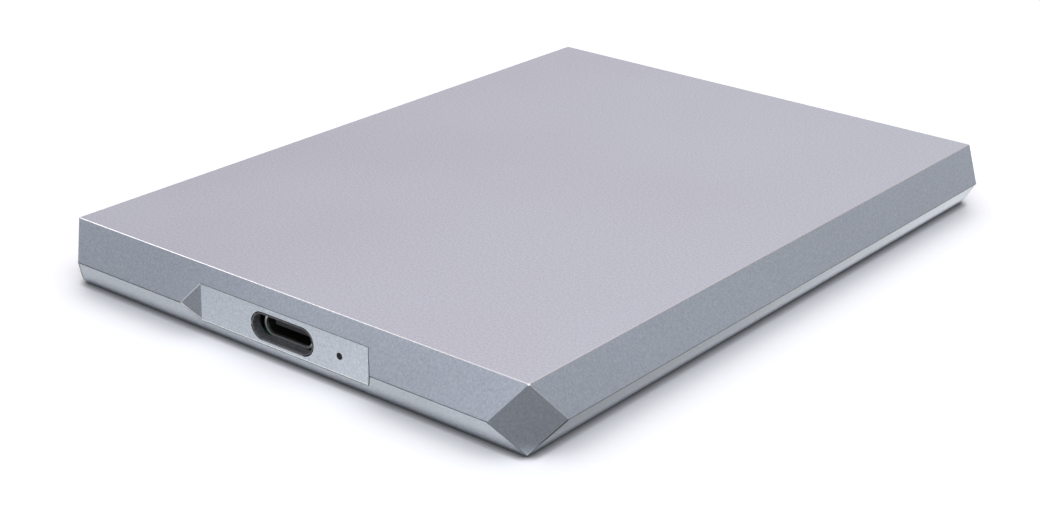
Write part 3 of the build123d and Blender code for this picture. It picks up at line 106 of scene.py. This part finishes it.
def mathNode(tree, operation, a, b=None, clamp=False):
    node = addNode(tree, "ShaderNodeMath", operation=operation, use_clamp=clamp)
    for socket, value in zip(node.inputs, (a, b)):
        if value is not None:
            setOrLink(tree, value, socket)
    return node.outputs["Value"]


def vectorNode(tree, operation, a, b=None):
    node = addNode(tree, "ShaderNodeVectorMath", operation=operation)
    for socket, value in zip(node.inputs, (a, b)):
        if value is not None:
            setOrLink(tree, value, socket)
    return node.outputs["Value" if operation == "DOT_PRODUCT" else "Vector"]


def mapRange(tree, value, low, high, outLow=0.0, outHigh=1.0):
    # straight line from low..high to outLow..outHigh, held at both ends
    node = addNode(tree, "ShaderNodeMapRange", Value=value, From_Min=low, From_Max=high,
                   To_Min=outLow, To_Max=outHigh)
    return node.outputs["Result"]


def mixColors(tree, mask, first, second):
    # the first colour where the mask is 0, the second where it is 1
    node = addNode(tree, "ShaderNodeMix", data_type="RGBA")
    tree.links.new(mask, node.inputs["Factor"])
    firstSocket, secondSocket, mixedSocket = node.inputs[6], node.inputs[7], node.outputs[2]
    for value, socket in ((first, firstSocket), (second, secondSocket)):
        setOrLink(tree, (*value, 1.0) if isinstance(value, tuple) else value, socket)
    return mixedSocket


def onObject(tree):
    # a point's place on the object, in metres
    return addNode(tree, "ShaderNodeTexCoord").outputs["Object"]


def splitPlace(tree, place):
    return addNode(tree, "ShaderNodeSeparateXYZ", Vector=place).outputs


def noiseMask(tree, scale, low, high, **values):
    # noise stretched so that low gives 0 and high gives 1
    noise = addNode(tree, "ShaderNodeTexNoise", Scale=scale, **values)
    return mapRange(tree, noise.outputs["Fac"], low, high)


# Shared effects, each a group with named inputs

def makeGrainGroup():
    # fine grain: noise in object space, stretched to run from 0 to 1 about its middle
    tree, source, mask = newGroup("fineGrain", {"Scale": 2500.0, "Contrast": 0.25})
    low = mathNode(tree, "SUBTRACT", 0.5, source["Contrast"])
    high = mathNode(tree, "ADD", 0.5, source["Contrast"])
    grain = noiseMask(tree, source["Scale"], low, high, Vector=onObject(tree), Detail=2.0,
                      Roughness=0.7)
    tree.links.new(grain, mask)
    return tree


def makeCloudGroup():
    # broad soft clouds for handling marks and tone
    tree, source, mask = newGroup("softClouds", {"Scale": 40.0})
    clouds = noiseMask(tree, source["Scale"], 0.32, 0.68, Vector=onObject(tree), Detail=3.0,
                       Roughness=0.5)
    tree.links.new(clouds, mask)
    return tree


def makeBrushGroup():
    # brush lines along Y: noise whose X and Z run much faster than its Y
    tree, source, mask = newGroup("brushLines", {"Scale": 1800.0, "Stretch": 0.02})
    squeeze = addNode(tree, "ShaderNodeCombineXYZ", X=1.0, Y=source["Stretch"], Z=1.0)
    stretched = vectorNode(tree, "MULTIPLY", onObject(tree), squeeze.outputs["Vector"])
    lines = noiseMask(tree, source["Scale"], 0.3, 0.7, Vector=stretched, Detail=2.0,
                      Roughness=0.6)
    tree.links.new(lines, mask)
    return tree


def makeRingGroup():
    # turned rings: noise of the distance from a vertical axis through Centre
    tree, source, mask = newGroup("turnedRings", {"Centre": (0.0, 0.0, 0.0), "Scale": 9000.0})
    fromAxis = splitPlace(tree, vectorNode(tree, "SUBTRACT", onObject(tree), source["Centre"]))
    squareX = mathNode(tree, "MULTIPLY", fromAxis["X"], fromAxis["X"])
    squareY = mathNode(tree, "MULTIPLY", fromAxis["Y"], fromAxis["Y"])
    radius = mathNode(tree, "SQRT", mathNode(tree, "ADD", squareX, squareY))
    rings = noiseMask(tree, source["Scale"], 0.3, 0.7, noise_dimensions="1D", W=radius,
                      Detail=2.0)
    tree.links.new(rings, mask)
    return tree


grainGroup = makeGrainGroup()
cloudGroup = makeCloudGroup()
brushGroup = makeBrushGroup()
ringGroup = makeRingGroup()


def newMaterial(name):
    material = bpy.data.materials.new(name)
    material.use_nodes = True
    tree = material.node_tree
    return material, tree, tree.nodes["Principled BSDF"]


def addBump(tree, shader, height, strength, distance):
    bump = addNode(tree, "ShaderNodeBump", Strength=strength, Distance=distance, Height=height)
    tree.links.new(bump.outputs["Normal"], shader.inputs["Normal"])


# Case: bead-blasted, anodised aluminium with finely cut, brighter edges, and painted shade on the
# port opening's walls

caseFinish = {
    "lightTone": (0.780, 0.830, 0.905),
    "darkTone": (0.590, 0.638, 0.722),
    "edgeTone": (0.88, 0.89, 0.92),
    # painted shade: near-black colour for the walls of the port opening
    "portWallPaintedShade": (0.055, 0.057, 0.062),
    "roughness": (0.40, 0.46),
    "edgePolish": 0.25,        # taken off the roughness at the edges
    "grainScale": 3000.0,
    "grainContrast": 0.22,
    "grainDepth": 0.000016,    # metres
    "grainStrength": 0.5,
    "cloudScale": 30.0,
    "edgeSharpness": 60.0,
    "portMargin": 0.0002,      # metres round the port liner
    "faces": [  # outward directions of the flat faces, signs left off; a facet's by rise and inset
        (0, 0, 1), (1, 0, 0), (0, 1, 0), (1, 1, 0),
        (4.85, 0, 3.5), (0, 4.85, 3.5),
        (5.15, 0, 3.85), (0, 5.15, 3.85),
    ],
}


def makeEdgeGroup(faces):
    # 1 on rounded edges and 0 on flat faces: how far the normal is from the nearest face direction
    tree, source, mask = newGroup("faceEdges", {"Sharpness": 60.0})
    normal = addNode(tree, "ShaderNodeTexCoord").outputs["Normal"]
    upright = vectorNode(tree, "ABSOLUTE", normal)
    nearest = None
    for face in faces:
        near = vectorNode(tree, "DOT_PRODUCT", upright, Vector(face).normalized())
        nearest = near if nearest is None else mathNode(tree, "MAXIMUM", nearest, near)
    away = mathNode(tree, "SUBTRACT", 1.0, nearest)
    tree.links.new(mathNode(tree, "MULTIPLY", away, source["Sharpness"], clamp=True), mask)
    return tree


def makePortGroup():
    # 1 inside the box round the port liner, seen from the front, and 0 outside it; it places the
    # painted shade on the port opening's walls
    tree, source, mask = newGroup("portBox", {"Margin": 0.0002})
    low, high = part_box("port_bezel")
    place = splitPlace(tree, onObject(tree))
    inside = []
    for axis, index in (("X", 0), ("Z", 2)):
        middle, half = (low[index] + high[index]) / 2, (high[index] - low[index]) / 2
        away = mathNode(tree, "ABSOLUTE", mathNode(tree, "SUBTRACT", place[axis], middle))
        reach = mathNode(tree, "ADD", source["Margin"], half)
        inside.append(mathNode(tree, "LESS_THAN", away, reach))
    tree.links.new(mathNode(tree, "MULTIPLY", *inside), mask)
    return tree


def makeCaseMaterial(finish):
    material, tree, shader = newMaterial("caseAluminium")
    grain = useGroup(tree, grainGroup, Scale=finish["grainScale"],
                     Contrast=finish["grainContrast"])
    clouds = useGroup(tree, cloudGroup, Scale=finish["cloudScale"])
    edges = useGroup(tree, makeEdgeGroup(finish["faces"]), Sharpness=finish["edgeSharpness"])
    port = useGroup(tree, makePortGroup(), Margin=finish["portMargin"])
    body = mixColors(tree, grain, finish["darkTone"], finish["lightTone"])
    cut = mixColors(tree, edges, body, finish["edgeTone"])
    # painted shade: curved and chamfered case surfaces inside the port box are coloured near-black
    portWallShadeMask = mathNode(tree, "MULTIPLY", edges, port)
    color = mixColors(tree, portWallShadeMask, cut, finish["portWallPaintedShade"])
    tree.links.new(color, shader.inputs["Base Color"])
    rough = mapRange(tree, clouds, 0.0, 1.0, *finish["roughness"])
    polish = mathNode(tree, "MULTIPLY", edges, finish["edgePolish"])
    tree.links.new(mathNode(tree, "SUBTRACT", rough, polish), shader.inputs["Roughness"])
    shader.inputs["Metallic"].default_value = 1.0
    addBump(tree, shader, grain, finish["grainStrength"], finish["grainDepth"])
    return material


# Finishes of the other pieces: two tones that a pattern mixes, and a range of roughness

usualFinish = {  # what a finish has where it says nothing else
    "pattern": "grain",
    "coat": 0.0,
    "specular": 0.5,
    "bump": 0.00001,           # metres
    "bumpStrength": 0.3,
    "grainContrast": 0.25,
    "brushStretch": 0.02,
    "cloudScale": 90.0,
}
plainFinishes = {
    "matteBlack": {
        "tones": ((0.030, 0.030, 0.033), (0.055, 0.055, 0.060)),
        "rough": (0.50, 0.65), "scale": 2200.0,
    },
    "linerBlack": {
        "tones": ((0.030, 0.030, 0.034), (0.120, 0.122, 0.130)),
        "rough": (0.40, 0.55), "scale": 2600.0,
    },
    # painted shade: the light pipe is coloured near-black to stand in for the shade in the LED
    # hole
    "paintedShadeRod": {
        "tones": ((0.008, 0.008, 0.010), (0.020, 0.021, 0.024)),
        "rough": (0.30, 0.40), "scale": 600.0, "specular": 0.15,
    },
    "bumperRubber": {
        "tones": ((0.030, 0.030, 0.034), (0.048, 0.048, 0.052)),
        "rough": (0.65, 0.80), "scale": 1500.0,
    },
    "padFoam": {
        "tones": ((0.035, 0.035, 0.038), (0.110, 0.110, 0.115)),
        "rough": (0.85, 0.95), "scale": 3200.0, "bump": 0.00008,
    },
    "filterFelt": {
        "tones": ((0.62, 0.62, 0.60), (0.80, 0.80, 0.78)),
        "rough": (0.85, 0.95), "scale": 4200.0, "bump": 0.00006,
    },
    "tapeFilm": {
        "tones": ((0.62, 0.60, 0.52), (0.70, 0.68, 0.60)),
        "rough": (0.35, 0.50), "scale": 500.0,
    },
    "boardGreen": {
        "tones": ((0.010, 0.090, 0.045), (0.020, 0.150, 0.080)),
        "rough": (0.25, 0.40), "scale": 900.0, "coat": 0.4,
    },
    "chipEpoxy": {
        "tones": ((0.016, 0.016, 0.018), (0.034, 0.034, 0.036)),
        "rough": (0.40, 0.55), "scale": 3500.0,
    },
    "ledLens": {
        "tones": ((0.80, 0.79, 0.70), (0.88, 0.87, 0.80)),
        "rough": (0.20, 0.30), "scale": 800.0,
    },
    "sliderCeramic": {
        "tones": ((0.06, 0.06, 0.07), (0.10, 0.10, 0.11)),
        "rough": (0.08, 0.15), "scale": 4000.0,
    },
    "flexFilm": {
        "tones": ((0.42, 0.17, 0.03), (0.58, 0.27, 0.06)),
        "rough": (0.25, 0.40), "scale": 900.0, "coat": 0.3,
    },
}
metalFinishes = {
    "socketSteel": {  # tones darkened as painted shade inside the socket; the front rim takes a painted highlight
        "tones": ((0.22, 0.22, 0.22), (0.30, 0.30, 0.30)),
        "rough": (0.30, 0.42), "scale": 2500.0,
        "rimOf": "usb_shell", "rimDepth": 0.0004, "rimHighlightTone": (0.98, 0.98, 0.98),
    },
    "goldPlate": {
        "tones": ((0.80, 0.56, 0.20), (0.90, 0.68, 0.30)),
        "rough": (0.16, 0.26), "scale": 2500.0,
    },
    "screwSteel": {
        "tones": ((0.38, 0.38, 0.40), (0.55, 0.55, 0.57)),
        "rough": (0.28, 0.42), "scale": 2500.0,
    },
    "castAluminium": {
        "tones": ((0.42, 0.43, 0.45), (0.58, 0.59, 0.61)),
        "rough": (0.45, 0.60), "scale": 1200.0, "bump": 0.00002,
    },
    "lidSteel": {
        "tones": ((0.50, 0.51, 0.52), (0.64, 0.65, 0.66)),
        "rough": (0.26, 0.40), "scale": 1800.0, "pattern": "brush",
    },
    "laminations": {
        "tones": ((0.22, 0.22, 0.24), (0.38, 0.38, 0.40)),
        "rough": (0.40, 0.55), "scale": 2500.0,
    },
    "magnetNickel": {
        "tones": ((0.58, 0.56, 0.52), (0.70, 0.68, 0.64)),
        "rough": (0.14, 0.24), "scale": 1500.0,
    },
    "copperWire": {
        "tones": ((0.60, 0.22, 0.08), (0.86, 0.42, 0.20)),
        "rough": (0.28, 0.40), "scale": 5000.0, "bump": 0.00005,
    },
    "turnedAluminium": {
        "tones": ((0.58, 0.59, 0.60), (0.76, 0.77, 0.78)),
        "rough": (0.20, 0.34), "scale": 6000.0, "pattern": "rings", "about": "spindle_shaft",
    },
    "machinedArm": {
        "tones": ((0.58, 0.59, 0.60), (0.76, 0.77, 0.78)),
        "rough": (0.24, 0.36), "scale": 6000.0, "pattern": "rings", "about": "pivot_post",
    },
    "discMirror": {
        "tones": ((0.66, 0.67, 0.69), (0.72, 0.73, 0.75)),
        "rough": (0.03, 0.07), "scale": 12000.0, "pattern": "rings", "about": "spindle_shaft",
    },
}


def middleOf(node):
    low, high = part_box(node)
    return (low + high) / 2


def makePattern(tree, finish):
    if finish["pattern"] == "brush":
        return useGroup(tree, brushGroup, Scale=finish["scale"], Stretch=finish["brushStretch"])
    if finish["pattern"] == "rings":
        return useGroup(tree, ringGroup, Scale=finish["scale"], Centre=middleOf(finish["about"]))
    return useGroup(tree, grainGroup, Scale=finish["scale"], Contrast=finish["grainContrast"])


def makeFinish(name, finish, metallic):
    finish = {**usualFinish, **finish}
    material, tree, shader = newMaterial(name)
    pattern = makePattern(tree, finish)
    color = mixColors(tree, pattern, *finish["tones"])
    if "rimOf" in finish:
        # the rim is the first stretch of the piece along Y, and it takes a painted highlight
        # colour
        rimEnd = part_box(finish["rimOf"])[0][1] + finish["rimDepth"]
        rimHighlight = mathNode(tree, "LESS_THAN", splitPlace(tree, onObject(tree))["Y"], rimEnd)
        color = mixColors(tree, rimHighlight, color, finish["rimHighlightTone"])
    tree.links.new(color, shader.inputs["Base Color"])
    clouds = useGroup(tree, cloudGroup, Scale=finish["cloudScale"])
    rough = mapRange(tree, clouds, 0.0, 1.0, *finish["rough"])
    tree.links.new(rough, shader.inputs["Roughness"])
    shader.inputs["Metallic"].default_value = metallic
    shader.inputs["Coat Weight"].default_value = finish["coat"]
    shader.inputs["Specular IOR Level"].default_value = finish["specular"]
    addBump(tree, shader, pattern, finish["bumpStrength"], finish["bump"])
    return material


# Which finish each node of the drive takes

nodeFinishes = {
    "caseAluminium": ["top_cover", "bottom_cover"],
    "matteBlack": [
        "carrier_frame", "load_ramp", "flex_bracket",
        "usb_tongue", "sata_receptacle", "sata_plug",
    ],
    "linerBlack": ["port_bezel"],
    "paintedShadeRod": ["light_pipe"],
    "bumperRubber": ["corner_bumpers", "crash_stops", "lid_gasket"],
    "padFoam": ["top_pad", "bottom_pad"],
    "filterFelt": ["air_filter", "breather_filter"],
    "tapeFilm": ["top_tape", "bottom_tape"],
    "boardGreen": ["bridge_board", "disk_board"],
    "chipEpoxy": ["bridge_chip", "flash_chip", "disk_board_chips", "board_parts"],
    "ledLens": ["status_led"],
    "sliderCeramic": ["head_sliders"],
    "flexFilm": ["flex_cable"],
    "socketSteel": ["usb_shell"],
    "goldPlate": ["usb_contacts", "sata_springs", "sata_blades"],
    "screwSteel": [
        "board_screws", "lid_screws", "disk_board_screws", "clamp_screw", "yoke_posts",
        "spindle_shaft", "pivot_post", "pivot_sleeve", "bearing_sleeve",
    ],
    "castAluminium": ["disk_base"],
    "lidSteel": ["disk_lid", "disc_clamp", "head_suspensions"],
    "laminations": ["stator_core"],
    "magnetNickel": ["lower_yoke", "upper_yoke", "voice_magnets", "rotor_magnet"],
    "copperWire": ["stator_coils", "voice_coil"],
    "turnedAluminium": ["spindle_hub", "disc_spacer"],
    "machinedArm": ["actuator_block"],
    "discMirror": ["lower_disc", "upper_disc"],
}


def dressNodes():
    made = {"caseAluminium": makeCaseMaterial(caseFinish)}
    for name, finish in plainFinishes.items():
        made[name] = makeFinish(name, finish, metallic=0.0)
    for name, finish in metalFinishes.items():
        made[name] = makeFinish(name, finish, metallic=1.0)
    bare = set(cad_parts)
    for name, nodes in nodeFinishes.items():
        for node in nodes:
            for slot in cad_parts[node].material_slots:
                slot.material = made[name]
        bare -= set(nodes)
    print("finishes made:", len(made), "and nodes without one:", sorted(bare))


dressNodes()


# Floor: a wide pale sheet, a flat grid that ends far outside the view

floorSetup = {
    "halfSize": 3.0,           # metres
    "cells": 24,
    "tone": 0.80,              # as other pieces see it
    "seenTone": 1.14,          # as the camera sees it: white paper
    "contactReach": 0.0013,    # metres, the width of the painted contact shade beside the drive
    "contactSamples": 8,
    "nearSheet": (0.0004, 0.0036),  # metres over which the metal stops showing the sheet
}


def makePaper(setup):
    material = bpy.data.materials.new("paperWhite")
    material.use_nodes = True
    tree = material.node_tree
    tree.nodes.clear()
    path = addNode(tree, "ShaderNodeLightPath").outputs
    tone = mapRange(tree, path["Is Camera Ray"], 0.0, 1.0, setup["tone"], setup["seenTone"])
    # painted shade: an ambient occlusion node darkens the sheet's colour close beside the drive's
    # lower edge
    paintedContactShade = addNode(tree, "ShaderNodeAmbientOcclusion", samples=setup["contactSamples"],
                  Distance=setup["contactReach"])
    shade = mathNode(tree, "MULTIPLY", tone, paintedContactShade.outputs["AO"])
    sheet = addNode(tree, "ShaderNodeBsdfDiffuse", Color=shade)
    # the metal shows the sheet where it is near, and the pale room where it is farther off
    far = mapRange(tree, path["Ray Length"], *setup["nearSheet"])
    mirrored = mathNode(tree, "MAXIMUM", path["Is Glossy Ray"], path["Is Shadow Ray"])
    clear = addNode(tree, "ShaderNodeBsdfTransparent")
    mixed = addNode(tree, "ShaderNodeMixShader", Fac=mathNode(tree, "MULTIPLY", far, mirrored))
    tree.links.new(sheet.outputs["BSDF"], mixed.inputs[1])
    tree.links.new(clear.outputs["BSDF"], mixed.inputs[2])
    addNode(tree, "ShaderNodeOutputMaterial", Surface=mixed.outputs["Shader"])
    return material


def makeFloor(setup):
    # a square grid: x and y run evenly from -halfSize to halfSize, z is 0
    cells = setup["cells"]
    count = cells + 1
    steps = np.linspace(-setup["halfSize"], setup["halfSize"], count)
    x, y = np.meshgrid(steps, steps, indexing="ij")
    points = np.stack([x.ravel(), y.ravel(), np.zeros(count * count)], axis=1)
    corner = (np.arange(cells)[:, None] * count + np.arange(cells)[None, :]).ravel()
    faces = np.stack([corner, corner + count, corner + count + 1, corner + 1], axis=1)
    mesh = bpy.data.meshes.new("floor")
    mesh.from_pydata(points.tolist(), [], faces.tolist())
    mesh.materials.append(makePaper(setup))
    floor = bpy.data.objects.new("floor", mesh)
    bpy.context.scene.collection.objects.link(floor)


makeFloor(floorSetup)
print("floor made")


# Light: a pale room of a few soft glows, and plain white where the camera sees it

roomGlows = {  # middle direction in degrees from +X and above the floor, sharpness, tone
    "overhead": {"turn": 314, "rise": 61, "sharpness": 3.0, "tone": (1.98, 2.01, 2.12)},
    "backLeft": {"turn": 129, "rise": 41, "sharpness": 8.7, "tone": (0.85, 0.74, 0.75)},
    "tableFront": {"turn": 237, "rise": -55, "sharpness": 9.4, "tone": (2.70, 2.70, 2.68)},
    "tableBack": {"turn": 92, "rise": -14, "sharpness": 12.0, "tone": (2.67, 2.68, 2.68)},
    "edgeWindow": {"turn": 177, "rise": 42, "sharpness": 90.0, "tone": (3.0, 3.0, 3.0)},
}
metalGlows = ["tableFront", "tableBack", "edgeWindow"]  # show in metal, and don't light the sheet


def makeGlow(tree, direction, name, glow):
    # tone times e to the power of sharpness times (cosine of the angle from the middle, minus 1)
    turn, rise = math.radians(glow["turn"]), math.radians(glow["rise"])
    middle = (
        math.cos(turn) * math.cos(rise), math.sin(turn) * math.cos(rise), math.sin(rise),
    )
    cosine = vectorNode(tree, "DOT_PRODUCT", direction, middle)
    fall = mathNode(tree, "SUBTRACT", cosine, 1.0)
    strength = mathNode(tree, "EXPONENT", mathNode(tree, "MULTIPLY", fall, glow["sharpness"]))
    if name in metalGlows:
        path = addNode(tree, "ShaderNodeLightPath").outputs
        direct = mathNode(tree, "SUBTRACT", 1.0, path["Diffuse Depth"], clamp=True)
        strength = mathNode(tree, "MULTIPLY", strength, direct)
    light = addNode(tree, "ShaderNodeBackground", Color=(*glow["tone"], 1.0), Strength=strength)
    return light.outputs["Background"]


def makeWorld(glows):
    world = bpy.data.worlds.new("paleRoom")
    bpy.context.scene.world = world
    world.use_nodes = True
    tree = world.node_tree
    tree.nodes.clear()
    direction = addNode(tree, "ShaderNodeTexCoord").outputs["Generated"]
    room = None
    for name, glow in glows.items():
        light = makeGlow(tree, direction, name, glow)
        if room is None:
            room = light
            continue
        both = addNode(tree, "ShaderNodeAddShader")
        tree.links.new(room, both.inputs[0])
        tree.links.new(light, both.inputs[1])
        room = both.outputs["Shader"]
    white = addNode(tree, "ShaderNodeBackground", Color=(1.0, 1.0, 1.0, 1.0), Strength=1.0)
    path = addNode(tree, "ShaderNodeLightPath").outputs
    seen = addNode(tree, "ShaderNodeMixShader", Fac=path["Is Camera Ray"])
    tree.links.new(room, seen.inputs[1])
    tree.links.new(white.outputs["Background"], seen.inputs[2])
    addNode(tree, "ShaderNodeOutputWorld", Surface=seen.outputs["Shader"])


makeWorld(roomGlows)
bpy.context.scene.view_settings.view_transform = "Standard"
print("room made")


print("scene ready")
